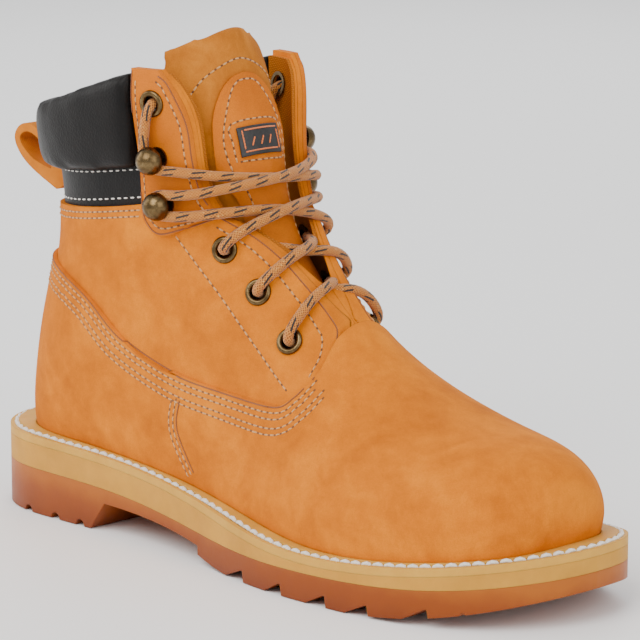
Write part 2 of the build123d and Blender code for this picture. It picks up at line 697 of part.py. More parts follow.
def fitted(shape, fastenings, depth, side):
    """Copies of a small shape standing on a layer at each fastening of one side."""
    with BuildPart() as group:
        for fastening in fastenings:
            add(shape.moved(fastening_plane(fastening, depth, side).location))
    return group.part


for side_name, side in SIDES.items():
    with BuildPart() as eyelets:
        add(fitted(eyelet.part, EYELETS, QUARTER_OUT + 0.35, side))
        add(fitted(eyelet.part, (TOP_EYELET,), PANEL_OUT + 0.35, side))
    eyelets.part.label = f"eyelets_{side_name}"
    export_step(eyelets.part, f"parts/eyelets_{side_name}.step")

    with BuildPart() as eyelet_washers:
        add(fitted(washer.part, EYELETS + (TOP_EYELET,), LINING_IN - 1.25, side))
    eyelet_washers.part.label = f"eyelet_washers_{side_name}"
    export_step(eyelet_washers.part, f"parts/eyelet_washers_{side_name}.step")

    with BuildPart() as ball_hooks:
        add(fitted(ball_hook.part, HOOKS, PANEL_OUT + 0.3, side))
    ball_hooks.part.label = f"ball_hooks_{side_name}"
    export_step(ball_hooks.part, f"parts/ball_hooks_{side_name}.step")

    with BuildPart() as hook_rivets:
        add(fitted(rivet.part, HOOKS, PANEL_OUT + 0.28, side))
    hook_rivets.part.label = f"hook_rivets_{side_name}"
    export_step(hook_rivets.part, f"parts/hook_rivets_{side_name}.step")


# ---- lace ---------------------------------------------------------------
def on_fastening(fastening, depth):
    """A point on a fastening's axis of the outer side."""
    return tuple(fastening_plane(fastening, depth).origin)


def across(point):
    """The same point on the boot's other side."""
    return (point[0], -point[1], point[2])


# One half of the lace, from the bar below the lowest eyelets to its own tip.
# Each crossing over the tongue has an upper and a lower place.
BAR = (34.5, 0, 97)
CROSSINGS = (
    ((25, 0, 111.5), (21.8, 0, 108.3)), ((13, 0, 125), (9.6, 0, 122.1)),
    ((3.5, 0, 140), (-0.8, 0, 138.3)), ((-1, 0, 151), (-5.2, 0, 149.8)),
)


def lace_half(upper_first):
    """The half that leaves the outer side's lowest eyelet; upper at odd or even crossings."""
    centre = [CROSSINGS[step][(step + (0 if upper_first else 1)) % 2] for step in range(4)]
    low, middle, high = EYELETS
    return [
        (30.5, -10.5, 93.3), on_fastening(low, -7.6), on_fastening(low, 3.4),
        (27.7, -14.2, 107.6), centre[0], (16.5, 8.8, 109.3),
        across(on_fastening(middle, -7.6)), across(on_fastening(middle, 3.4)),
        (14.7, 14.6, 121.5), centre[1], (3.5, -10.5, 124.5),
        on_fastening(high, -7.6), on_fastening(high, 3.4),
        (-2.5, -25, 131.5), centre[2], (-8.5, 26.5, 138.6), (-22, 36.8, 136.2),
        (-37.6, 39.6, 135.6), (-37.6, 39.6, 144.3), (-22, 36.8, 144.6),
        (-9, 25.5, 148), centre[3], (-13, -27, 152.5), (-24, -37.2, 154.2),
        (-40, -40.4, 154), (-40.2, -41.6, 164), on_fastening(TOP_EYELET, 3.4),
        on_fastening(TOP_EYELET, -8.2), (-43.5, -30.2, 172), (-44.3, -29.2, 160),
        (-44.6, -28.7, 146), (-46.5, -28.4, 131), (-50.5, -28.6, 114), (-55, -29, 98),
    ]


def bend_radii(points):
    """The largest arc that each corner's two runs leave room for."""
    radii = []
    for before, corner, after in zip(points, points[1:], points[2:]):
        into, out = Vector(*corner) - Vector(*before), Vector(*after) - Vector(*corner)
        half_turn = math.radians(into.get_angle(out)) / 2
        radii.append(0.45 * min(into.length, out.length) / math.tan(half_turn))
    return radii


half = lace_half(True)
other_half = [across(point) for point in lace_half(False)]
lace_points = backwards(half) + (BAR,) + tuple(other_half)

with BuildPart() as lace:
    with BuildLine() as lace_path:
        FilletPolyline(*lace_points, radius=bend_radii(lace_points))
    route = lace_path.wire()
    with BuildSketch(Plane(origin=route @ 0, z_dir=route % 0)):
        Circle(LACE / 2)
    sweep(path=route)
lace_length = route.length
print("lace length", round(lace_length), "volume", round(lace.part.volume),
      "of", round(math.pi * LACE ** 2 / 4 * lace_length))
lace.part.label = "lace"
export_step(lace.part, "parts/lace.step")

with BuildPart() as aglets:
    for tip, inner in (lace_points[:2], lace_points[:-3:-1]):
        way = (Vector(*tip) - Vector(*inner)).normalized()
        with BuildSketch(Plane(origin=tip, z_dir=way)):
            Circle(LACE / 2 - 0.3)
        extrude(amount=AGLET)
aglets.part.label = "aglets"
export_step(aglets.part, "parts/aglets.step")
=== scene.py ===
import json
import math

import bmesh
import bpy
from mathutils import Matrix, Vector, noise
from mathutils.bvhtree import BVHTree


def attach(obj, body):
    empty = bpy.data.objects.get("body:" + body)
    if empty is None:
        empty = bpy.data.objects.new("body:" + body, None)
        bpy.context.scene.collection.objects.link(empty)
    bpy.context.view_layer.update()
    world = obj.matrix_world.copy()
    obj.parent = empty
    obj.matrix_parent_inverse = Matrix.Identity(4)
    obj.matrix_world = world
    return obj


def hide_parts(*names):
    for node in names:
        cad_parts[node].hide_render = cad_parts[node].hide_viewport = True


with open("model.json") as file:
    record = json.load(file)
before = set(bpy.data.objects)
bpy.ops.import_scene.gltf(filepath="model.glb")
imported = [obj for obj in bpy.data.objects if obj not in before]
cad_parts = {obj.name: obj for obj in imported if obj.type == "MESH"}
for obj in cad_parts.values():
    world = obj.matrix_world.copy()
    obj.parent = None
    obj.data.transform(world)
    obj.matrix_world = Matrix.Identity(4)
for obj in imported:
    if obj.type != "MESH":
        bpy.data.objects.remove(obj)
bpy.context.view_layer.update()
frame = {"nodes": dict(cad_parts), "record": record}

# Looks of the steel toe work boot: metres, +X toe, -Y outer side, +Z up.
NODES = frame["nodes"]
MM = 0.001


# ---- camera, light and floor -------------------------------------------
AIM = Vector((6, 0, 85)) * MM
AZIMUTH, ELEVATION, DISTANCE = math.radians(45.3), math.radians(11.9), 1.46
LENS, SENSOR, SHIFT = 205, 36, 0.033
LAMPS = (  # name, place, size, power, colour
    ("key", (0.25, -1.5, 1.6), 1.6, 38, (1, 0.985, 0.96)),
    ("front", (1.7, -0.3, 0.9), 1.4, 15, (1, 0.99, 0.97)),
    ("rim", (-1.0, 1.4, 1.3), 1.2, 14, (0.97, 0.985, 1)),
    ("side", (-1.5, -0.9, 0.8), 1.2, 13, (1, 0.99, 0.97)),
)
SKY_STRENGTH = 0.75
FLOOR_SIZE, FLOOR_LEVEL = 16, -0.0003


def place_camera():
    """The camera at the photograph's angle."""
    away = Vector((math.sin(AZIMUTH) * math.cos(ELEVATION), -math.cos(AZIMUTH) * math.cos(ELEVATION),
                   math.sin(ELEVATION)))
    camera = bpy.data.objects.new("camera", bpy.data.cameras.new("camera"))
    camera.data.lens, camera.data.sensor_width = LENS, SENSOR
    camera.data.shift_x = camera.data.shift_y = SHIFT
    camera.data.clip_start, camera.data.clip_end = 0.01, 60
    camera.location = AIM + away * DISTANCE
    camera.rotation_euler = (-away).to_track_quat("-Z", "Y").to_euler()
    bpy.context.collection.objects.link(camera)
    bpy.context.scene.camera = camera


def place_lights():
    """Soft lamps round the boot and an even white sky."""
    for name, place, size, power, colour in LAMPS:
        lamp = bpy.data.lights.new(name, "AREA")
        lamp.energy, lamp.size, lamp.color = power, size, colour
        lamp_object = bpy.data.objects.new(name, lamp)
        lamp_object.location = place
        way = AIM - Vector(place)
        lamp_object.rotation_euler = way.to_track_quat("-Z", "Y").to_euler()
        bpy.context.collection.objects.link(lamp_object)
    world = bpy.data.worlds.new("world")
    bpy.context.scene.world = world
    world.use_nodes = True
    sky = world.node_tree.nodes["Background"]
    sky.inputs["Color"].default_value = (1, 1, 1, 1)
    sky.inputs["Strength"].default_value = SKY_STRENGTH


def lay_floor():
    """A pale paper floor just under the sole."""
    bpy.ops.mesh.primitive_plane_add(size=FLOOR_SIZE, location=(0, 0, FLOOR_LEVEL))
    floor = bpy.context.object
    floor.name = "floor"
    floor.data.materials.append(Shader("floor_paper", (0.97, 0.97, 0.97), 0.8).material)


# ---- materials ----------------------------------------------------------
class Shader:
    """A material being built: its nodes, its shader and its object coordinates."""

    def __init__(self, name, colour, roughness):
        self.material = bpy.data.materials.new(name)
        self.material.use_nodes = True
        self.nodes, self.links = self.material.node_tree.nodes, self.material.node_tree.links
        self.shader = self.nodes["Principled BSDF"]
        self.shader.inputs["Base Color"].default_value = (*colour, 1)
        self.shader.inputs["Roughness"].default_value = roughness
        self.place = self.nodes.new("ShaderNodeTexCoord").outputs["Object"]
        self.normal = None

    def set(self, **values):
        """Values of the shader's own inputs, with _ for a space."""
        for key, value in values.items():
            self.shader.inputs[key.replace("_", " ")].default_value = value
        return self

    def noise(self, scale, detail=3.0, rough=0.55, distortion=0.0):
        node = self.nodes.new("ShaderNodeTexNoise")
        node.inputs["Scale"].default_value = scale
        node.inputs["Detail"].default_value = detail
        node.inputs["Roughness"].default_value = rough
        node.inputs["Distortion"].default_value = distortion
        self.links.new(self.place, node.inputs["Vector"])
        return node.outputs["Fac"]

    def cells(self, scale, feature="DISTANCE_TO_EDGE"):
        node = self.nodes.new("ShaderNodeTexVoronoi")
        node.feature = feature
        node.inputs["Scale"].default_value = scale
        self.links.new(self.place, node.inputs["Vector"])
        return node.outputs["Distance"]

    def waves(self, scale, direction, place=None):
        node = self.nodes.new("ShaderNodeTexWave")
        node.bands_direction = direction
        node.inputs["Scale"].default_value = scale
        self.links.new(place or self.place, node.inputs["Vector"])
        return node.outputs["Fac"]

    def ramp(self, value, *stops):
        """Colours, or greys given as one number, at places of a value."""
        node = self.nodes.new("ShaderNodeValToRGB")
        band = node.color_ramp
        while len(band.elements) < len(stops):
            band.elements.new(0.5)
        for element, (place, colour) in zip(band.elements, stops):
            element.position = place
            colour = colour if isinstance(colour, tuple) else (colour,) * 3
            element.color = (*colour, 1)
        self.links.new(value, node.inputs["Fac"])
        return node.outputs["Color"]

    def maths(self, how, first, second):
        node = self.nodes.new("ShaderNodeMath")
        node.operation = how
        for slot, value in zip(node.inputs, (first, second)):
            if isinstance(value, (int, float)):
                slot.default_value = value
            else:
                self.links.new(value, slot)
        return node.outputs[0]

    def mix(self, amount, first, second, how="MIX"):
        """Two colours mixed, each an output or a tuple, by a number or an output."""
        node = self.nodes.new("ShaderNodeMix")
        node.data_type, node.blend_type = "RGBA", how
        for key, kind, value in (("Factor", "VALUE", amount), ("A", "RGBA", first), ("B", "RGBA", second)):
            slot = next(s for s in node.inputs if s.name == key and s.type == kind)
            if isinstance(value, (int, float)):
                slot.default_value = value
            elif isinstance(value, tuple):
                slot.default_value = (*value, 1)
            else:
                self.links.new(value, slot)
        return next(s for s in node.outputs if s.type == "RGBA")

    def split(self):
        """The place's three coordinates."""
        node = self.nodes.new("ShaderNodeSeparateXYZ")
        self.links.new(self.place, node.inputs[0])
        return node.outputs

    def colour(self, output):
        self.links.new(output, self.shader.inputs["Base Color"])
        return self

    def rough(self, value, low, high):
        """Roughness between two values."""
        node = self.nodes.new("ShaderNodeMapRange")
        node.inputs["To Min"].default_value, node.inputs["To Max"].default_value = low, high
        self.links.new(value, node.inputs["Value"])
        self.links.new(node.outputs["Result"], self.shader.inputs["Roughness"])
        return self

    def bump(self, value, distance, strength=1.0):
        """Bumps of a height in metres, on top of the bumps already there."""
        node = self.nodes.new("ShaderNodeBump")
        node.inputs["Distance"].default_value = distance
        node.inputs["Strength"].default_value = strength
        self.links.new(value, node.inputs["Height"])
        if self.normal:
            self.links.new(self.normal, node.inputs["Normal"])
        return self.use_normal(node)

    def soft_edges(self, radius):
        """Sharp edges shaded as if rounded; it comes before any bump."""
        node = self.nodes.new("ShaderNodeBevel")
        node.samples = 4
        node.inputs["Radius"].default_value = radius
        return self.use_normal(node)

    def use_normal(self, node):
        self.normal = node.outputs["Normal"]
        self.links.new(self.normal, self.shader.inputs["Normal"])
        return self


def hide(name, dark, middle, light, nap=1.0, scale=1.0):
    """Napped leather: soft clouds, small scuffs and a fine raised nap."""
    s = Shader(name, middle, 0.9)
    s.set(Sheen_Weight=0.1, Sheen_Roughness=0.4, Specular_IOR_Level=0.12)
    s.shader.inputs["Sheen Tint"].default_value = (1.0, 0.55, 0.2, 1)
    s.soft_edges(0.5 * MM)
    clouds = s.noise(30 * scale, 5, 0.6, 0.5)
    small = s.noise(130 * scale, 5, 0.65, 0.3)
    nap_height = s.noise(1900, 3, 0.7)
    spread = s.maths("ADD", s.maths("MULTIPLY", clouds, 0.68), s.maths("MULTIPLY", small, 0.32))
    base = s.ramp(spread, (0.34, dark), (0.5, middle), (0.66, light))
    fibres = s.ramp(nap_height, (0.3, 0.82), (0.7, 1.0))
    s.colour(s.mix(1.0, base, fibres, "MULTIPLY"))
    s.rough(small, 0.82, 0.96)
    s.bump(s.noise(48, 4, 0.5), 0.5 * MM, 0.35)
    s.bump(small, 0.22 * MM, 0.5)
    s.bump(nap_height, 0.09 * MM * nap, 0.8)
    return s.material


def smooth_leather():
    """Smooth leather with a fine cell grain and soft clouds."""
    s = Shader("smooth_leather", (0.52, 0.155, 0.012), 0.65)
    s.set(Specular_IOR_Level=0.16)
    s.soft_edges(0.5 * MM)
    grain = s.cells(1100)
    clouds = s.noise(45, 4, 0.6, 0.4)
    tone = s.ramp(clouds, (0.3, (0.50, 0.118, 0.002)), (0.7, (0.64, 0.168, 0.0035)))
    s.colour(s.mix(1.0, tone, s.ramp(grain, (0.0, 0.86), (0.12, 1.0)), "MULTIPLY"))
    s.rough(s.noise(160), 0.6, 0.8)
    s.bump(clouds, 0.4 * MM, 0.3)
    s.bump(s.ramp(grain, (0.0, 0.0), (0.2, 1.0)), 0.05 * MM, 0.7)
    return s.material


def collar_leather():
    """Black padded leather, a little glossy."""
    s = Shader("collar_leather", (0.012, 0.011, 0.012), 0.36)
    s.set(Specular_IOR_Level=0.16)
    s.soft_edges(0.6 * MM)
    grain = s.cells(620)
    s.colour(s.ramp(s.noise(90, 4), (0.3, (0.0028, 0.0022, 0.0022)), (0.75, (0.007, 0.0055, 0.005))))
    s.rough(s.noise(60, 3), 0.36, 0.5)
    s.bump(s.noise(38, 4, 0.55, 0.3), 0.8 * MM, 0.35)
    s.bump(s.ramp(grain, (0.0, 0.0), (0.22, 1.0)), 0.06 * MM, 0.8)
    return s.material


def lining_knit():
    """The tan knit inside the shaft."""
    s = Shader("lining_knit", (0.45, 0.14, 0.012), 0.95)
    s.set(Specular_IOR_Level=0.1)
    knit = s.maths("MULTIPLY", s.waves(420, "DIAGONAL"), s.waves(420, "Z"))
    s.colour(s.ramp(knit, (0.0, (0.34, 0.095, 0.007)), (1.0, (0.52, 0.17, 0.018))))
    s.bump(knit, 0.25 * MM)
    return s.material


def footbed_cloth():
    """Dark woven cloth."""
    s = Shader("footbed_cloth", (0.03, 0.03, 0.033), 0.95)
    s.set(Sheen_Weight=0.3)
    weave = s.maths("MULTIPLY", s.waves(380, "X"), s.waves(380, "Y"))
    s.colour(s.ramp(weave, (0.0, (0.015, 0.015, 0.017)), (1.0, (0.06, 0.06, 0.065))))
    s.bump(weave, 0.25 * MM)
    return s.material


def foam():
    """Open grey foam."""
    s = Shader("foam", (0.13, 0.13, 0.14), 0.95)
    s.colour(s.ramp(s.cells(900), (0.0, (0.05, 0.05, 0.055)), (0.3, (0.18, 0.18, 0.19))))
    s.bump(s.cells(900), 0.2 * MM)
    return s.material


def fibre_board():
    """Pressed brown fibre."""
    s = Shader("fibre_board", (0.26, 0.17, 0.085), 0.9)
    s.colour(s.ramp(s.noise(500, 4), (0.3, (0.20, 0.12, 0.06)), (0.7, (0.32, 0.21, 0.11))))
    s.bump(s.noise(800), 0.1 * MM)
    return s.material


def cork():
    """Cork crumbs."""
    s = Shader("cork", (0.27, 0.14, 0.06), 0.95)
    s.colour(s.ramp(s.cells(350, "F1"), (0.1, (0.14, 0.07, 0.03)), (0.6, (0.34, 0.19, 0.085))))
    s.bump(s.cells(350), 0.4 * MM)
    return s.material


def pressed_steel():
    """Dull pressed steel."""
    s = Shader("pressed_steel", (0.55, 0.56, 0.58), 0.35)
    s.set(Metallic=1.0)
    s.rough(s.noise(300, 4), 0.25, 0.5)
    s.bump(s.noise(240, 4), 0.1 * MM, 0.5)
    return s.material


def gum_rubber():
    """Amber gum rubber, darker and redder towards the ground."""
    s = Shader("gum_rubber", (0.50, 0.17, 0.022), 0.42)
    s.set(Subsurface_Weight=0.18, Subsurface_Scale=0.004, Specular_IOR_Level=0.3)
    s.shader.inputs["Subsurface Radius"].default_value = (1.0, 0.5, 0.12)
    s.soft_edges(0.7 * MM)
    height = s.maths("MULTIPLY", s.split()[2], 45.0)
    cloud = s.maths("ADD", height, s.maths("MULTIPLY", s.noise(60, 4), 0.5))
    deep, amber, pale = (0.17, 0.028, 0.0005), (0.26, 0.052, 0.0008), (0.38, 0.098, 0.002)
    s.colour(s.ramp(cloud, (0.15, deep), (0.7, amber), (1.0, pale)))
    s.rough(s.noise(180, 5), 0.34, 0.55)
    s.bump(s.noise(420, 4), 0.08 * MM, 0.6)
    return s.material


def sole_rubber(name, dark, light):
    """Pale rubber of the sidewall and the welt, with soft clouds."""
    s = Shader(name, light, 0.6)
    s.set(Subsurface_Weight=0.12, Subsurface_Scale=0.003, Specular_IOR_Level=0.4)
    s.soft_edges(0.8 * MM)
    cloud = s.noise(55, 5, 0.6)
    s.colour(s.ramp(cloud, (0.3, dark), (0.7, light)))
    s.rough(s.noise(150, 4), 0.5, 0.72)
    s.bump(s.noise(700, 3), 0.05 * MM, 0.8)
    s.bump(cloud, 0.2 * MM, 0.3)
    return s.material


def black_rubber():
    """The label's black rubber."""
    s = Shader("black_rubber", (0.014, 0.013, 0.013), 0.5)
    s.soft_edges(0.3 * MM)
    s.colour(s.ramp(s.noise(700), (0.3, (0.010, 0.010, 0.010)), (0.7, (0.022, 0.021, 0.021))))
    s.rough(s.noise(300), 0.42, 0.62)
    s.bump(s.noise(1400), 0.05 * MM)
    return s.material


def webbing():
    """The pull loop's ribbed leather tape."""
    s = Shader("webbing", (0.50, 0.15, 0.01), 0.85)
    s.set(Specular_IOR_Level=0.12)
    s.soft_edges(0.8 * MM)
    ribs = s.waves(330, "Y")
    clouds = s.ramp(s.noise(120, 5), (0.3, (0.44, 0.115, 0.006)), (0.7, (0.60, 0.185, 0.013)))
    stripes = s.ramp(ribs, (0.0, (0.34, 0.09, 0.005)), (0.8, (0.58, 0.18, 0.013)))
    s.colour(s.mix(0.3, clouds, stripes))
    s.bump(ribs, 0.08 * MM)
    return s.material


def antique_brass():
    """Aged brass, worn bright in places."""
    s = Shader("antique_brass", (0.26, 0.17, 0.07), 0.35)
    s.set(Metallic=1.0)
    wear = s.noise(260, 6, 0.7, 0.4)
    dark, middle, bright = (0.075, 0.046, 0.020), (0.15, 0.098, 0.043), (0.30, 0.21, 0.10)
    s.colour(s.ramp(wear, (0.35, dark), (0.55, middle), (0.8, bright)))
    s.rough(wear, 0.36, 0.2)
    s.bump(s.noise(900, 4), 0.05 * MM, 0.7)
    return s.material


def lace_braid():
    """Round braid: tan strands with pale flecks and paired black dashes, with painted shade in the grooves
    between strands and a painted highlight on their crests.
    """
    s = Shader("lace_braid", (0.60, 0.30, 0.08), 0.8)
    s.set(Sheen_Weight=0.2)
    along = s.nodes.new("ShaderNodeUVMap")
    along.uv_map = "along"
    s.place = along.outputs["UV"]
    turned = s.nodes.new("ShaderNodeMapping")
    turned.inputs["Scale"].default_value = (1, -1, 1)
    s.links.new(s.place, turned.inputs["Vector"])
    strands = s.maths("MAXIMUM", s.waves(0.5, "DIAGONAL"), s.waves(0.5, "DIAGONAL", turned.outputs["Vector"]))
    # Painted shade and highlight: the strand ramp goes from a shaded colour in the grooves to a lit colour on
    # the crests.
    shade, tan, high = (0.20, 0.05, 0.003), (0.48, 0.15, 0.010), (0.60, 0.23, 0.028)
    flecks = s.ramp(s.noise(1.3, 2), (0.62, 0.0), (0.68, 1.0))
    cord = s.mix(flecks, s.ramp(strands, (0.35, shade), (0.75, tan), (1.0, high)), (0.72, 0.42, 0.12))
    length, girth, _ = s.split()
    dash = s.maths("PINGPONG", s.maths("ADD", length, s.maths("MULTIPLY", girth, 0.5)), 5.6)
    around = s.maths("PINGPONG", s.maths("ADD", girth, s.maths("MULTIPLY", length, 0.2)), 1.1)
    black = s.maths("MULTIPLY", s.maths("LESS_THAN", dash, 2.4), s.maths("LESS_THAN", around, 0.42))
    s.colour(s.mix(black, cord, (0.016, 0.013, 0.012)))
    s.bump(strands, 0.25 * MM, 0.9)
    return s.material


def lace_tip():
    """The lace tips' hard brown film."""
    s = Shader("lace_tip", (0.26, 0.09, 0.012), 0.25)
    s.set(Coat_Weight=0.5, Coat_Roughness=0.15)
    s.colour(s.ramp(s.noise(500), (0.3, (0.20, 0.065, 0.008)), (0.7, (0.34, 0.13, 0.02))))
    s.bump(s.noise(900), 0.05 * MM)
    return s.material


def twisted(name, dark, light):
    """A thread, a dark edge line (dark cut edge with painted shadow) or the painted shade of a needle hole,
    with the same fine twist.
    """
    s = Shader(name, light, 0.75)
    s.set(Sheen_Weight=0.2)
    twist = s.waves(900, "DIAGONAL")
    s.colour(s.ramp(twist, (0.0, dark), (0.6, light)))
    s.bump(twist, 0.12 * MM)
    return s.material


HONEY = ((0.50, 0.120, 0.0010), (0.65, 0.172, 0.0015), (0.80, 0.240, 0.0035))
SUEDE = ((0.40, 0.115, 0.009), (0.50, 0.158, 0.013), (0.60, 0.21, 0.022))


def make_materials():
    """Every material by its slot; the stitches, the dark edge lines with their painted shadow and the painted
    shade at the needle holes have their own names.
    """
    sidewall = sole_rubber("midsole_rubber", (0.48, 0.215, 0.014), (0.60, 0.285, 0.024))
    welt = sole_rubber("welt_rubber", (0.54, 0.265, 0.026), (0.66, 0.35, 0.045))
    board = fibre_board()
    return {
        "nubuck": hide("nubuck", *HONEY),
        "suede": hide("suede", *SUEDE, nap=2.2, scale=1.6),
        "smooth_leather": smooth_leather(),
        "collar_leather": collar_leather(),
        "lining": lining_knit(),
        "footbed": footbed_cloth(),
        "foam": foam(),
        "board": board,
        "stiffener": board,
        "cork": cork(),
        "steel": pressed_steel(),
        "gum": gum_rubber(),
        "midsole": sidewall,
        "welt": welt,
        "welt_thread": welt,
        "rubber_black": black_rubber(),
        "webbing": webbing(),
        "antique_brass": antique_brass(),
        "lace": lace_braid(),
        "aglet": lace_tip(),
        "thread_tan": twisted("thread_tan", (0.42, 0.19, 0.045), (0.72, 0.40, 0.15)),
        # Dark discs at the needle holes: painted shade for their dents.
        "needle_hole_shade": twisted("needle_hole_shade", (0.06, 0.018, 0.003), (0.14, 0.045, 0.006)),
        # Dark edge lines: dark cut edges, with painted shadow where one panel laps over another.
        "edge_and_shadow": twisted("edge_and_shadow", (0.15, 0.035, 0.003), (0.27, 0.07, 0.006)),
        "thread_white": twisted("thread_white", (0.70, 0.66, 0.58), (0.95, 0.93, 0.88)),
        "thread_orange": twisted("thread_orange", (0.62, 0.12, 0.02), (0.85, 0.20, 0.035)),
    }


# ---- building pieces ----------------------------------------------------
def piece(name, mesh, look, body):
    """A smooth-shaded mesh as a piece of the boot, riding on a body."""
    shown = bpy.data.objects.new(name, mesh)
    bpy.context.collection.objects.link(shown)
    mesh.materials.clear()
    mesh.materials.append(look)
    mesh.polygons.foreach_set("use_smooth", [True] * len(mesh.polygons))
    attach(shown, body)
    return shown


def mesh_of(name, vertices, faces):
    """A mesh of points and faces."""
    mesh = bpy.data.meshes.new(name)
    mesh.from_pydata(vertices, [], faces)
    mesh.update()
    return mesh


def joined(*names):
    """The points and faces of several CAD nodes together."""
    vertices, faces = [], []
    for name in names:
        mesh = NODES[name].data
        start = len(vertices)
        vertices += [v.co.copy() for v in mesh.vertices]
        faces += [[start + v for v in p.vertices] for p in mesh.polygons]
    return vertices, faces


def surface(*names):
    """The skin of CAD nodes, to drop points on."""
    return BVHTree.FromPolygons(*joined(*names))


def skin_of(shown):
    """The skin of a piece, to drop points on."""
    vertices = [v.co.copy() for v in shown.data.vertices]
    return BVHTree.FromPolygons(vertices, [list(p.vertices) for p in shown.data.polygons])


SPLINE_STEPS = 24


def curve_through(points, step=0.8):
    """Evenly spaced points of a smooth curve through given ones (millimetres)."""
    points = [Vector(p) for p in points]
    fine = []
    for i in range(len(points) - 1):
        before, here = points[max(i - 1, 0)], points[i]
        there, after = points[i + 1], points[min(i + 2, len(points) - 1)]
        for k in range(SPLINE_STEPS):
            t = k / SPLINE_STEPS
            fine.append(0.5 * (2 * here + (there - before) * t
                               + (2 * before - 5 * here + 4 * there - after) * t * t
                               + (3 * here - before - 3 * there + after) * t ** 3))
    fine.append(points[-1])
    return spaced(fine, step)


def spaced(points, step):
    """The same line with even steps, about as long as asked for."""
    total = sum((b - a).length for a, b in zip(points, points[1:]))
    count = max(2, round(total / step))
    out, walked, index = [points[0].copy()], 0.0, 0
    for k in range(1, count + 1):
        goal = total * k / count
        while index < len(points) - 2 and walked + (points[index + 1] - points[index]).length < goal:
            walked += (points[index + 1] - points[index]).length
            index += 1
        span = (points[index + 1] - points[index]).length or 1e-9
        out.append(points[index].lerp(points[index + 1], min(1, max(0, (goal - walked) / span))))
    return out


def beside(points, amount):
    """A side view line moved to its left by an amount."""
    moved = []
    for i, point in enumerate(points):
        way = (points[min(i + 1, len(points) - 1)] - points[max(i - 1, 0)]).normalized()
        moved.append(Vector((point.x - way.y * amount, point.y + way.x * amount)))
    return moved


BESIDE_BOOT = 140


def from_side(tree, points, side):
    """Side view points (x, z) in millimetres dropped on the boot from one side."""
    found = []
    for point in points:
        start = Vector((point.x, side * BESIDE_BOOT, point.y)) * MM
        place, normal, _, _ = tree.ray_cast(start, Vector((0, -side, 0)))
        if place is not None:
            found.append((place, normal))
    return found


HEEL_TURN = -92.0
HEEL_STEPS = 90
BEHIND_HEEL = 0.12
HEEL_TRIES = 3


def round_heel(tree, line, side_end):
    """A side view line dropped on both sides, up to an x, and carried round the heel's back."""
    height = {round(p.x): p.y for p in line}

    def level(x):
        near = min(height, key=lambda key: abs(key - x))
        return height[near]

    front = [p for p in line if HEEL_TURN <= p.x <= side_end]
    front.sort(key=lambda p: -p.x)
    lateral = from_side(tree, front, -1)
    medial = from_side(tree, front, 1)
    back = []
    for k in range(1, HEEL_STEPS):
        angle = math.pi * k / HEEL_STEPS
        way = Vector((-math.sin(angle), -math.cos(angle), 0))
        z = level(HEEL_TURN)
        for _ in range(HEEL_TRIES):
            start = Vector((HEEL_TURN, 0, z)) * MM + way * BEHIND_HEEL
            place, normal, _, _ = tree.ray_cast(start, -way)
            if place is None:
                break
            z = level(place.x / MM)
        if place is not None:
            back.append((place, normal))
    return lateral + back + medial[::-1]


# A stitch: its rings along the length with their widths, in shares of half a length and of the thickness.
STITCH_RINGS = ((-1.0, 0.25), (-0.72, 0.85), (0.0, 1.0), (0.72, 0.85), (1.0, 0.25))
STITCH_SIDES, HOLE_SIDES = 6, 8
STITCH_HALF_WIDTH, STITCH_HALF_HEIGHT = 0.5, 0.42
STITCH_RISE, STITCH_DIP = 0.3, 0.35
FIRST_STITCH, LAST_STITCH = 0.4, 0.6
HOLE_LIFT, HOLE_HALF_LENGTH, HOLE_HALF_WIDTH = 0.06, 0.62, 0.55


def stitch_places(row, length, gap):
    """The middle of every stitch of a row, with its three directions: along, across and out."""
    places = [place for place, _ in row]
    run = [0.0]
    for a, b in zip(places, places[1:]):
        run.append(run[-1] + (b - a).length)
    goal, index = FIRST_STITCH * length * MM, 0
    while goal + LAST_STITCH * length * MM < run[-1]:
        while index < len(run) - 2 and run[index + 1] < goal:
            index += 1
        share = (goal - run[index]) / max(run[index + 1] - run[index], 1e-9)
        middle = places[index].lerp(places[index + 1], share)
        along = (places[index + 1] - places[index]).normalized()
        if along.length > 0.5:
            across = along.cross(row[index][1].normalized()).normalized()
            yield middle, along, across, across.cross(along)
        goal += (length + gap) * MM


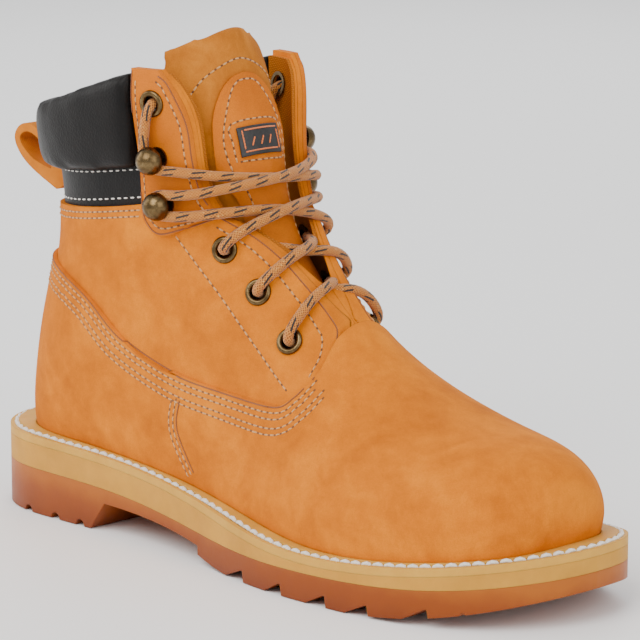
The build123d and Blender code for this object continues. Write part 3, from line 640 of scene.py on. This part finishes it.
def stitches(name, rows, look, body, length=2.3, gap=1.0, thick=0.75, sink=0.1, hole_shade=None):
    """Rows of single stitches lying on a surface, one object. Dark discs at their needle punctures, painted
    shade for the dents there, can be another.
    """
    vertices, faces, shade_dots, shade_dot_faces = [], [], [], []
    for row in rows:
        if len(row) < 3:
            continue
        for middle, along, across, out in stitch_places(row, length, gap):
            start = len(vertices)
            for ring, width in STITCH_RINGS:
                rise = thick * STITCH_RISE * MM - STITCH_DIP * thick * MM * ring * ring - sink * MM
                centre = middle + along * ring * length * MM / 2 + out * rise
                for k in range(STITCH_SIDES):
                    angle = 2 * math.pi * k / STITCH_SIDES
                    ray = (across * math.cos(angle) * STITCH_HALF_WIDTH
                           + out * math.sin(angle) * STITCH_HALF_HEIGHT)
                    vertices.append(centre + ray * thick * width * MM)
            last = start + (len(STITCH_RINGS) - 1) * STITCH_SIDES
            for ring in range(start, last, STITCH_SIDES):
                for k in range(STITCH_SIDES):
                    a, b = ring + k, ring + (k + 1) % STITCH_SIDES
                    faces.append((a, b, b + STITCH_SIDES, a + STITCH_SIDES))
            faces.append([start + k for k in range(STITCH_SIDES)][::-1])
            faces.append([last + k for k in range(STITCH_SIDES)])
            # A dark disc between two stitches: painted shade for the dent of the needle hole.
            centre = middle + along * (length + gap) / 2 * MM + out * HOLE_LIFT * MM
            first = len(shade_dots)
            for k in range(HOLE_SIDES):
                angle = 2 * math.pi * k / HOLE_SIDES
                ray = (along * math.cos(angle) * HOLE_HALF_LENGTH * gap
                       + across * math.sin(angle) * HOLE_HALF_WIDTH * thick)
                shade_dots.append(centre + ray * MM)
            shade_dot_faces.append([first + k for k in range(HOLE_SIDES)])
    if hole_shade:
        piece(f"{name}_holes", mesh_of(f"{name}_holes", shade_dots, shade_dot_faces), hole_shade, body)
    return piece(name, mesh_of(name, vertices, faces), look, body)


CLOTH_FRAMES = 20
CLOTH_QUALITY, CLOTH_TENSION, CLOTH_BENDING = 5, 30, 1.5


def soft_pad(name, sources, look, body, voxel, swell, cap, smooth):
    """A padded piece: CAD solids remeshed to one skin, eased, then swollen as cloth up to a cap.

    Voxel size and cap are in millimetres, swell is the cloth's pressure and smooth its easing rounds."""
    work = bpy.data.objects.new(name, mesh_of(name, *joined(*sources)))
    bpy.context.collection.objects.link(work)
    bpy.context.view_layer.objects.active = work
    remesh = work.modifiers.new("skin", "REMESH")
    remesh.mode, remesh.voxel_size = "VOXEL", voxel * MM
    ease = work.modifiers.new("ease", "SMOOTH")
    ease.factor, ease.iterations = 0.5, smooth
    apply_modifiers(work)
    rest = [v.co.copy() for v in work.data.vertices]
    cloth = work.modifiers.new("cloth", "CLOTH")
    settings = cloth.settings
    settings.use_pressure, settings.uniform_pressure_force = True, swell
    settings.quality, settings.effector_weights.gravity = CLOTH_QUALITY, 0
    settings.tension_stiffness = settings.compression_stiffness = CLOTH_TENSION
    settings.bending_stiffness = CLOTH_BENDING
    for step in range(1, CLOTH_FRAMES + 1):
        bpy.context.scene.frame_set(step)
    apply_modifiers(work)
    bpy.context.scene.frame_set(1)
    for vertex, start in zip(work.data.vertices, rest):
        move = vertex.co - start
        if move.length > cap * MM:
            vertex.co = start + move.normalized() * cap * MM
    work.data.update()
    finer = work.modifiers.new("finer", "SUBSURF")
    finer.levels = finer.render_levels = 1
    apply_modifiers(work)
    mesh = work.data
    bpy.data.objects.remove(work)
    pad = piece(name, mesh, look, body)
    return pad


def ease_rim(mesh, height, rounds):
    """Evens out what a remesh leaves above a height in metres."""
    work = bmesh.new()
    work.from_mesh(mesh)
    rim = [v for v in work.verts if v.co.z > height]
    for _ in range(rounds):
        bmesh.ops.smooth_vert(work, verts=rim, factor=0.5,
                              use_axis_x=True, use_axis_y=True, use_axis_z=True)
    work.to_mesh(mesh)
    work.free()


def evaluated_mesh(target):
    """The mesh that an object has after its modifiers, or a curve's line."""
    bpy.context.view_layer.update()
    scene = bpy.context.evaluated_depsgraph_get()
    return bpy.data.meshes.new_from_object(target.evaluated_get(scene))


def apply_modifiers(target):
    """The evaluated shape becomes the object's own mesh."""
    shape = evaluated_mesh(target)
    target.modifiers.clear()
    target.data = shape


BRAID_STRANDS, BRAID_TURN = 3, 1.4


def tube(name, path, radius, look, body, sides=14, strand=0.05):
    """A tube along a path; its UV map holds length and girth in millimetres. Strands swell as a braid."""
    normal = Vector((0, 0, 1))
    vertices, faces, lengths = [], [], []
    walked = 0.0
    for i, point in enumerate(path):
        way = (path[min(i + 1, len(path) - 1)] - path[max(i - 1, 0)]).normalized()
        normal = (normal - way * normal.dot(way)).normalized()
        cross = way.cross(normal)
        if i:
            walked += (point - path[i - 1]).length
        for k in range(sides):
            angle = 2 * math.pi * k / sides
            turned = walked / MM * BRAID_TURN
            left, right = BRAID_STRANDS * angle + turned, BRAID_STRANDS * angle - turned
            swell = 1 + strand * math.sin(left) * math.sin(right)
            vertices.append(point + (normal * math.cos(angle) + cross * math.sin(angle)) * radius * swell)
        lengths.append(walked / MM)
    for i in range(len(path) - 1):
        for k in range(sides):
            a, b = i * sides + k, i * sides + (k + 1) % sides
            faces.append((a, b, b + sides, a + sides))
    faces.append(list(range(sides))[::-1])
    faces.append([(len(path) - 1) * sides + k for k in range(sides)])
    mesh = mesh_of(name, vertices, faces)
    map_along(mesh, lengths, sides, 2 * math.pi * radius / MM / sides)
    return piece(name, mesh, look, body)


def map_along(mesh, lengths, sides, girth_step):
    """A tube's UV map: length along it and girth round it, without a seam that runs backwards."""
    layer = mesh.uv_layers.new(name="along")
    for polygon in mesh.polygons:
        if len(polygon.loop_indices) != 4:
            continue
        columns = [mesh.loops[loop].vertex_index % sides for loop in polygon.loop_indices]
        wraps = max(columns) - min(columns) > 1
        for loop, column in zip(polygon.loop_indices, columns):
            row = mesh.loops[loop].vertex_index // sides
            place = sides if wraps and column == 0 else column
            layer.data[loop].uv = (lengths[row], place * girth_step)


# ---- side view lines, in millimetres (x, z) ------------------------------
BAND_TOP = ((-165, 112), (-115, 107.5), (-84, 98.5), (-59, 83), (-30, 73), (-1, 69), (28, 67.5),
            (37, 72.5), (41.5, 80))
QUARTER_TOP = ((-165, 128.5), (-140, 129), (-96, 131.5), (-47, 138.5))
COLLAR_LOW = ((-165, 148), (-140, 148), (-95, 149.5), (-47, 156))
QUARTER_FRONT = ((42.3, 79), (42.5, 87), (39, 95), (33, 101), (21, 112), (11, 121), (0, 129.5),
                 (-12, 136))
EYELET_ROW = ((-31, 127), (-16, 112), (3, 94), (20, 80), (31, 73))
SEAM = ((-14.2, 34), (-24, 50), (-23, 62))
PANEL_EDGE = ((-12, 137), (-18, 145), (-21.5, 158), (-23.5, 174), (-29, 188), (-33.5, 192))
PANEL_FOOT = ((-44.5, 189), (-44.5, 160), (-43.5, 138), (-41, 132.5), (-36, 130), (-28, 131.8),
              (-16, 136))
PANEL_RIM = ((-46.6, 193), (-46.6, 160), (-45.6, 138.5), (-43, 131.2), (-37.5, 127.6), (-28, 130),
             (-14, 135.6))
WELT_TOP = ((-160, 33.5), (-104, 33), (-54, 31), (-4, 25.5), (56, 18.5), (106, 21), (170, 30.4))
OUTLINE = (
    (-150, 0), (-144.5, -22), (-127, -37), (-99, -41), (-54, -41.5), (-9, -46),
    (41, -55.5), (68, -56.5), (98, -54.5), (129, -46), (152.5, -26), (162, 3),
    (156, 28), (134, 44), (104, 53), (74, 56.5), (44, 54.5), (6, 46),
    (-34, 40.5), (-74, 39.5), (-104, 40.5), (-128, 37), (-144.5, 22), (-150, 0),
)


# How far each row of stitches lies from its line, and where rows that go round the heel end.
BAND_ROWS = (2.4, 4.8, 8.2, 10.6)
TOP_ROWS = (2.4, 4.9)
SEAM_ROWS = (2.0, 4.4)
FRONT_ROW, PANEL_ROW = 4.2, 3.0
WHITE_LOW_ROW, WHITE_HIGH_ROW = 2.6, -3.4
BAND_CURL, COLLAR_FRONT = 22, -49
OUTER_SIDE_FIRST = (-1, 1)


def sew_upper(m):
    """Every row of stitches on the upper, dropped on the panels that it holds, and the dark edge lines: dark
    cut edges with painted shadow where panels lap over each other.
    """
    skin = surface("vamp", "counter_panel", "quarter_lateral", "quarter_medial", "hook_panel_lateral",
                   "hook_panel_medial", "collar_band", "backstay")
    band, top, seam = curve_through(BAND_TOP), curve_through(QUARTER_TOP), curve_through(SEAM)
    front, panel = curve_through(QUARTER_FRONT), curve_through(PANEL_EDGE)
    rows = [round_heel(skin, beside(band, -drop), BAND_CURL) for drop in BAND_ROWS]
    for drop in BAND_ROWS:
        curl = [p for p in beside(band, -drop) if p.x > BAND_CURL - 2]
        rows += [from_side(skin, curl, side) for side in OUTER_SIDE_FIRST]
    rows += [round_heel(skin, beside(top, -drop), COLLAR_FRONT) for drop in TOP_ROWS]
    for side in OUTER_SIDE_FIRST:
        rows += [from_side(skin, beside(seam, shift), side) for shift in SEAM_ROWS]
        rows.append(from_side(skin, beside(front, FRONT_ROW), side))
        rows.append(from_side(skin, curve_through(EYELET_ROW), side))
        rows.append(from_side(skin, beside(panel, PANEL_ROW), side))
        rows.append(from_side(skin, curve_through(PANEL_FOOT), side))
    stitches("upper_stitches", rows, m["thread_tan"], "boot", hole_shade=m["needle_hole_shade"])
    draw_edge_and_shadow_lines(m, skin, band, seam, front, panel)
    low = [p for p in beside(top, WHITE_LOW_ROW) if p.x < COLLAR_FRONT]
    high = [p for p in beside(curve_through(COLLAR_LOW), WHITE_HIGH_ROW) if p.x < COLLAR_FRONT]
    stitches("band_stitches", [round_heel(skin, row, COLLAR_FRONT - 1) for row in (low, high)],
             m["thread_white"], "boot", length=2.4, gap=1.5)


BAND_SPARE_POINTS = 22
BAND_EDGE, PANEL_CUT, EDGE_RADIUS = -0.35, 0.4, 0.33
EDGE_SIDE_END, EDGE_CURL = 26, 25


def draw_edge_and_shadow_lines(m, skin, band, seam, front, panel):
    """Thin dark lines along the panels' cut edges and the seam: the edges' own dark colour, with painted
    shadow where one panel laps over another.
    """
    rim = beside(band, BAND_EDGE)
    edges = [round_heel(skin, beside(band[:-BAND_SPARE_POINTS], BAND_EDGE), EDGE_SIDE_END)]
    for side in OUTER_SIDE_FIRST:
        edges.append(from_side(skin, [p for p in rim if p.x > EDGE_CURL], side))
        edges.append(from_side(skin, seam, side))
        edges.append(from_side(skin, beside(front, PANEL_CUT), side))
        edges.append(from_side(skin, beside(panel, PANEL_CUT), side))
        edges.append(from_side(skin, curve_through(PANEL_RIM), side))
    # Each line is a thin dark tube: a dark cut edge with painted shadow along the overlap.
    for number, edge in enumerate(edges):
        tube(f"edge_and_shadow_line_{number}", [place for place, _ in edge], EDGE_RADIUS * MM, m["edge_and_shadow"],
             "boot", sides=6, strand=0.0)


GROOVE_INSET, THREAD_SINK, ABOVE_WELT = 2.7, 0.55, 1.5


def sew_welt(m):
    """Lens-shaped lock stitches sunk a little into the groove round the welt."""
    skin = surface("welt", "welt_thread")
    row = []
    level = curve_through(WELT_TOP, 1.0)
    for p in beside(curve_through(OUTLINE, 1.0), GROOVE_INSET):
        z = min(level, key=lambda q: abs(q.x - p.x)).y
        place, _, _, _ = skin.ray_cast(Vector((p.x, p.y, z + ABOVE_WELT)) * MM, Vector((0, 0, -1)))
        if place is not None:
            row.append((Vector((place.x, place.y, (z - THREAD_SINK) * MM)), Vector((0, 0, 1))))
    stitches("welt_stitches", [row], m["thread_white"], "boot", length=4.9, gap=0.3,
             thick=2.1, sink=-0.35)


# ---- lace ----------------------------------------------------------------
EYELETS = (((25, -25, 92), (.308, -.838, .451)), ((7, -24.5, 108.8), (.381, -.867, .321)),
           ((-9, -27.5, 123.7), (.407, -.902, .146)))
TOP_EYELET = ((-37, -39.5, 180.5), (.243, -.965, -.099))
CROSSINGS = (((25, 0, 111.5), (21.8, 0, 108.3)), ((13, 0, 125), (9.6, 0, 122.1)),
             ((3.5, 0, 140), (-0.8, 0, 138.3)), ((-1, 0, 151), (-5.2, 0, 149.8)))
LACE_RADIUS = 2.1
IN_FRONT, BEHIND, BEHIND_TOP = 3.4, -7.6, -8.2
LACE_STEP = 0.6


def on_fastening(fastening, depth):
    """A point in front of a fastening, or behind it with a negative depth."""
    point, out = fastening
    return tuple(Vector(point) + Vector(out).normalized() * depth)


def across(point):
    """The point's mirror on the inner side."""
    return (point[0], -point[1], point[2])


def lace_half(upper_first):
    """The lace's listed points from the lowest bar to one tip.

    The two halves take turns at passing over at the crossings."""
    first = 0 if upper_first else 1
    centre = [pair[(step + first) % 2] for step, pair in enumerate(CROSSINGS)]
    low, middle, high = EYELETS
    return [
        (30.5, -10.5, 93.3), on_fastening(low, BEHIND), on_fastening(low, IN_FRONT),
        (27.7, -14.2, 107.6), centre[0], (16.5, 8.8, 109.3),
        across(on_fastening(middle, BEHIND)), across(on_fastening(middle, IN_FRONT)),
        (14.7, 14.6, 121.5), centre[1], (3.5, -10.5, 124.5),
        on_fastening(high, BEHIND), on_fastening(high, IN_FRONT),
        (-2.5, -25, 131.5), centre[2], (-8.5, 26.5, 138.6), (-22, 36.8, 136.2),
        (-37.6, 39.6, 135.6), (-37.6, 39.6, 144.3), (-22, 36.8, 144.6),
        (-9, 25.5, 148), centre[3], (-13, -27, 152.5), (-24, -37.2, 154.2),
        (-40, -40.4, 154), (-40.2, -41.6, 164), on_fastening(TOP_EYELET, IN_FRONT),
        on_fastening(TOP_EYELET, BEHIND_TOP), (-43.5, -30.2, 172), (-44.3, -29.2, 160),
        (-44.6, -28.7, 146), (-46.5, -28.4, 131), (-50.5, -28.6, 114), (-55, -29, 98),
    ]


def lace_up(m):
    """The round braided lace on one smooth line."""
    points = lace_half(True)[::-1] + [(34.5, 0, 97)] + [across(p) for p in lace_half(False)]
    curve = bpy.data.curves.new("lace_line", "CURVE")
    curve.dimensions = "3D"
    spline = curve.splines.new("NURBS")
    spline.points.add(len(points) - 1)
    for knot, point in zip(spline.points, points):
        knot.co = (*(Vector(point) * MM), 1)
    spline.order_u = 3
    spline.use_endpoint_u = True
    curve.resolution_u = 16
    holder = bpy.data.objects.new("lace_line", curve)
    bpy.context.collection.objects.link(holder)
    line = evaluated_mesh(holder)
    path = spaced([v.co.copy() for v in line.vertices], LACE_STEP * MM)
    bpy.data.objects.remove(holder)
    lace = tube("lace_braid", path, LACE_RADIUS * MM, m["lace"], "boot")
    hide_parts("lace")


# ---- tongue --------------------------------------------------------------
AHEAD, FRONT_TILT = 0.12, 0.45
SHEET_COLUMNS, SHEET_ROUNDING = 17, 0.35
TONGUE_SOURCES = ("tongue_face", "tongue_foam", "tongue_lining")


def from_front(tree, y, z):
    """A point of the tongue's front by its width and by the height at which its ray crosses x = 0."""
    start = Vector((AHEAD, y * MM, z * MM + AHEAD * FRONT_TILT))
    place, normal, _, _ = tree.ray_cast(start, Vector((-1, 0, -FRONT_TILT)).normalized())
    return place, normal


def on_front(tree, pairs):
    """Points (y, z) in millimetres dropped on the tongue's front; those that miss are left out."""
    found = [from_front(tree, y, z) for y, z in pairs]
    return [(place, normal) for place, normal in found if place is not None]


def row_on(tree, pairs):
    """A smooth line through given points, dropped on the tongue's front."""
    return on_front(tree, curve_through(pairs))


def sheet_on(name, tree, outline, look, lift, thick, crown=0.0):
    """A piece laid on the tongue's front: rows of (height, half width), lifted, crowned and thickened."""
    rows = []
    for z, half in outline:
        row = []
        for k in range(SHEET_COLUMNS):
            share = 2 * k / (SHEET_COLUMNS - 1) - 1
            place, normal = from_front(tree, half * share, z)
            if place is None:
                break
            row.append(place + normal * (lift + crown * (1 - share * share)) * MM)
        if len(row) == SHEET_COLUMNS:
            rows.append(row)
    vertices = [p for row in rows for p in row]
    corners = [r * SHEET_COLUMNS + k for r in range(len(rows) - 1) for k in range(SHEET_COLUMNS - 1)]
    faces = [(a, a + 1, a + 1 + SHEET_COLUMNS, a + SHEET_COLUMNS) for a in corners]
    made = piece(name, mesh_of(name, vertices, faces), look, "tongue")
    solid = made.modifiers.new("thickness", "SOLIDIFY")
    solid.thickness, solid.offset = thick * MM, 0
    round_off = made.modifiers.new("round", "BEVEL")
    round_off.width, round_off.segments = SHEET_ROUNDING * thick * MM, 2
    apply_modifiers(made)
    made.data.polygons.foreach_set("use_smooth", [True] * len(made.data.polygons))
    return made


# The tongue's top: heights and half widths in metres, drops and lifts in millimetres, waves per metre.
EASED_FROM, EASED_AGAIN_FROM = 0.180, 0.183
FLARE_FROM, FLARE_OVER, FLARE_HALF, FLARE_LEAN = 0.184, 0.013, 0.027, 2
EDGE_FROM, EDGE_OVER, CORNER_HALF = 0.183, 0.024, 0.031
CORNER_DROP, EDGE_LIFT = 11, 3.0
WAVE_LIFT, LIFT_TURN, LIFT_START = 0.9, 200, -0.8
WAVE_LEAN, LEAN_TURN, LEAN_START = 1.2, 150, 0.6


def shape_tongue_top(mesh):
    """The tongue's top edge: its corners lean back and drop, and it waves gently between them."""
    ease_rim(mesh, EASED_FROM, 30)
    for vertex in mesh.vertices:
        co = vertex.co
        flare = min(1, max(0, (co.z - FLARE_FROM) / FLARE_OVER))
        flare *= flare * (3 - 2 * flare)
        co.x -= flare * (abs(co.y) / FLARE_HALF) ** 2 * FLARE_LEAN * MM
        rise = max(0, co.z - EDGE_FROM) / EDGE_OVER
        wave = WAVE_LIFT * math.cos(co.y * LIFT_TURN + LIFT_START)
        drop = CORNER_DROP * min(1, (abs(co.y) / CORNER_HALF) ** 3)
        co.z += rise * (EDGE_LIFT + wave - drop) * MM
        co.x += rise * WAVE_LEAN * math.cos(co.y * LEAN_TURN + LEAN_START) * MM
    ease_rim(mesh, EASED_AGAIN_FROM, 16)


# The overlay's rows (height, half width): a straight foot that widens to an arched head.
OVERLAY_FOOT = [(86 + 3 * k, 12.5) for k in range(20)]
OVERLAY_HEAD = [
    (146, 12.8), (149, 13.4), (152, 14.4), (155, 15.6), (159, 16.8), (164, 17.8), (170, 18.4), (176, 18.5),
    (182, 17.9), (187, 16.6), (191, 14.9), (195, 12.4), (198, 9.8), (200, 7.2), (201.4, 4.4), (202, 2),
    (202.1, 0.8),
]
ARCH_INSET = 2.6
ARCH_TOP = [(-8, 195), (0, 198.8), (8, 195)]
WINDOW = [(-12.6, 163.5), (-13, 171), (-12.6, 179.6), (0, 181), (12.6, 179.6), (13, 171), (12.6, 163.5),
          (0, 162.6), (-12.6, 163.5)]
TOP_ROW = [(-24, 195), (-18, 202), (-9, 206.5), (0, 208.5), (9, 206.5), (18, 202), (24, 195)]


def dress_tongue(m):
    """The padded suede tongue, its smooth overlay with a stitched window, and its label."""
    pad = soft_pad("tongue_pad", TONGUE_SOURCES, m["suede"], "tongue",
                   voxel=2.6, swell=2.0, cap=1.2, smooth=9)
    shape_tongue_top(pad.data)
    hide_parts(*TONGUE_SOURCES)
    tree = skin_of(pad)
    outline = OVERLAY_FOOT + OVERLAY_HEAD
    overlay = sheet_on("tongue_overlay_leather", tree, outline, m["smooth_leather"],
                       lift=0.9, thick=1.4)
    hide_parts("tongue_overlay")
    face = skin_of(overlay)
    side = [(half - ARCH_INSET, z) for z, half in outline[12:-7:3]]
    arch = [(-y, z) for y, z in side] + ARCH_TOP + side[::-1]
    stitches("tongue_stitches", [row_on(face, arch), row_on(face, WINDOW), row_on(tree, TOP_ROW)],
             m["thread_tan"], "tongue", hole_shade=m["needle_hole_shade"])
    dress_label(m, face)


LABEL_ROWS = [(165 + 1.3 * k, 10.8) for k in range(11)]
FRAME_HALF, FRAME_LOW, FRAME_HIGH = 9.2, 166.8, 176.3
BAR_CENTRES, BAR_SLANT, BAR_LOW, BAR_HEIGHT = (-4.5, 0, 4.5), 2.6, 169.1, 5


def line_between(start, end, steps):
    """Evenly spaced points from one point to another."""
    return [(start[0] + (end[0] - start[0]) * k / steps, start[1] + (end[1] - start[1]) * k / steps)
            for k in range(steps + 1)]


def dress_label(m, face):
    """The black rubber label with a plain stitched frame and three slanted bars."""
    label = sheet_on("label_rubber", face, LABEL_ROWS, m["rubber_black"],
                     lift=0.5, thick=1.0, crown=0.25)
    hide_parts("tongue_label")
    front = skin_of(label)
    corners = [(-FRAME_HALF, FRAME_LOW), (FRAME_HALF, FRAME_LOW), (FRAME_HALF, FRAME_HIGH),
               (-FRAME_HALF, FRAME_HIGH), (-FRAME_HALF, FRAME_LOW)]
    marks = [on_front(front, line_between(a, b, 24)) for a, b in zip(corners, corners[1:])]
    for centre in BAR_CENTRES:
        low, high = (centre - BAR_SLANT / 2, BAR_LOW), (centre + BAR_SLANT / 2, BAR_LOW + BAR_HEIGHT)
        marks.append(on_front(front, line_between(low, high, 12)))
    stitches("label_marks", marks, m["thread_orange"], "tongue",
             length=1.6, gap=-0.35, thick=0.7)


# ---- collar --------------------------------------------------------------
COLLAR_SOURCES = ("collar_cover", "collar_foam", "collar_lining")
TUCK_OVER, TUCK_DEPTH = 10, 3.0
DENTS = ((38, 0.3), (95, 0.1))


def dress_collar(m):
    """The padded black collar as one swollen skin, dented a little, its low edge pulled down to the band."""
    pad = soft_pad("collar_pad", COLLAR_SOURCES, m["collar_leather"], "boot",
                   voxel=3.0, swell=4.0, cap=2.2, smooth=10)
    low = curve_through(COLLAR_LOW, 2.0)
    ease_rim(pad.data, 0.1, 6)
    for vertex in pad.data.vertices:
        co = vertex.co
        level = min(low, key=lambda p: abs(p.x - co.x / MM)).y * MM
        tuck = max(0.0, 1 - (co.z - level) / (TUCK_OVER * MM))
        dent = sum(noise.noise(co * scale) * depth for scale, depth in DENTS)
        vertex.co = co + vertex.normal * dent * MM - Vector((0, 0, TUCK_DEPTH * min(tuck, 1) * MM))
    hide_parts(*COLLAR_SOURCES)


def paint_nodes(m):
    """Every CAD node's look, by its material slot in the record."""
    slots = {row["node"]: row["material_slot"] for row in frame["record"]["subparts"]}
    for name, node in NODES.items():
        look = m.get(slots[name], m["nubuck"])
        for index in range(max(1, len(node.data.materials))):
            if len(node.data.materials) <= index:
                node.data.materials.append(look)
            else:
                node.data.materials[index] = look


def main():
    m = make_materials()
    place_camera()
    place_lights()
    lay_floor()
    paint_nodes(m)
    lace_up(m)
    dress_collar(m)
    dress_tongue(m)
    sew_upper(m)
    sew_welt(m)


main()
